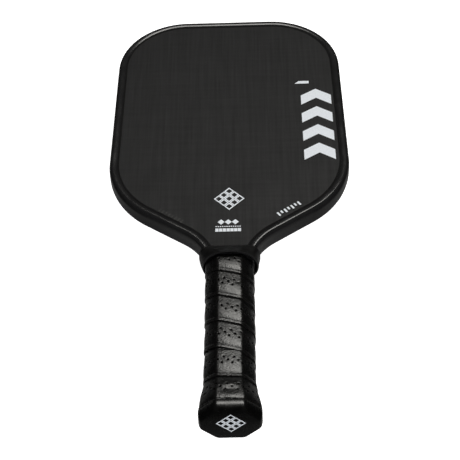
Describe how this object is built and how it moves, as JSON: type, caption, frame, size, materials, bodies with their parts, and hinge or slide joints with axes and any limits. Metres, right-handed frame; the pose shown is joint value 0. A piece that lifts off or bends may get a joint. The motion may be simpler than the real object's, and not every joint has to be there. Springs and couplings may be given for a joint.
{
  "type": "pickleball paddle",
  "caption": "Flat elongated pickleball paddle: honeycomb panel with carbon faces, edge guard, throat collar and a wrapped eight-sided handle with a flared butt cap.",
  "frame": {"origin": "centre of the paddle's box, in the panel's middle plane", "axes": "+X across the face, +Y from the butt end to the head tip, +Z out of the front face"},
  "size_m": [0.1904, 0.419, 0.0358],
  "materials": {
    "honeycomb": "translucent white polypropylene honeycomb",
    "carbon_face": "matte black woven carbon in resin, fine raised texture",
    "guard": "satin black moulded plastic",
    "bonding_tape": "grey acrylic foam tape",
    "pallet": "dark rigid foam",
    "cap": "satin black hard rubber",
    "fastener": "bright wire steel",
    "grip": "black perforated synthetic leather with a soft sheen",
    "finishing_tape": "black vinyl tape",
    "collar": "satin black moulded rubber"
  },
  "bodies": {
    "root": {"core_panel": "honeycomb", "front_face_sheet": "carbon_face", "back_face_sheet": "carbon_face", "edge_guard": "guard", "guard_bonding_tape": "bonding_tape", "front_pallet": "pallet", "back_pallet": "pallet", "butt_cap": "cap", "front_cap_staple": "fastener", "back_cap_staple": "fastener", "grip_tack": "fastener", "grip_wrap": "grip", "finishing_tape": "finishing_tape", "throat_collar": "collar"}
  },
  "joints": []
}
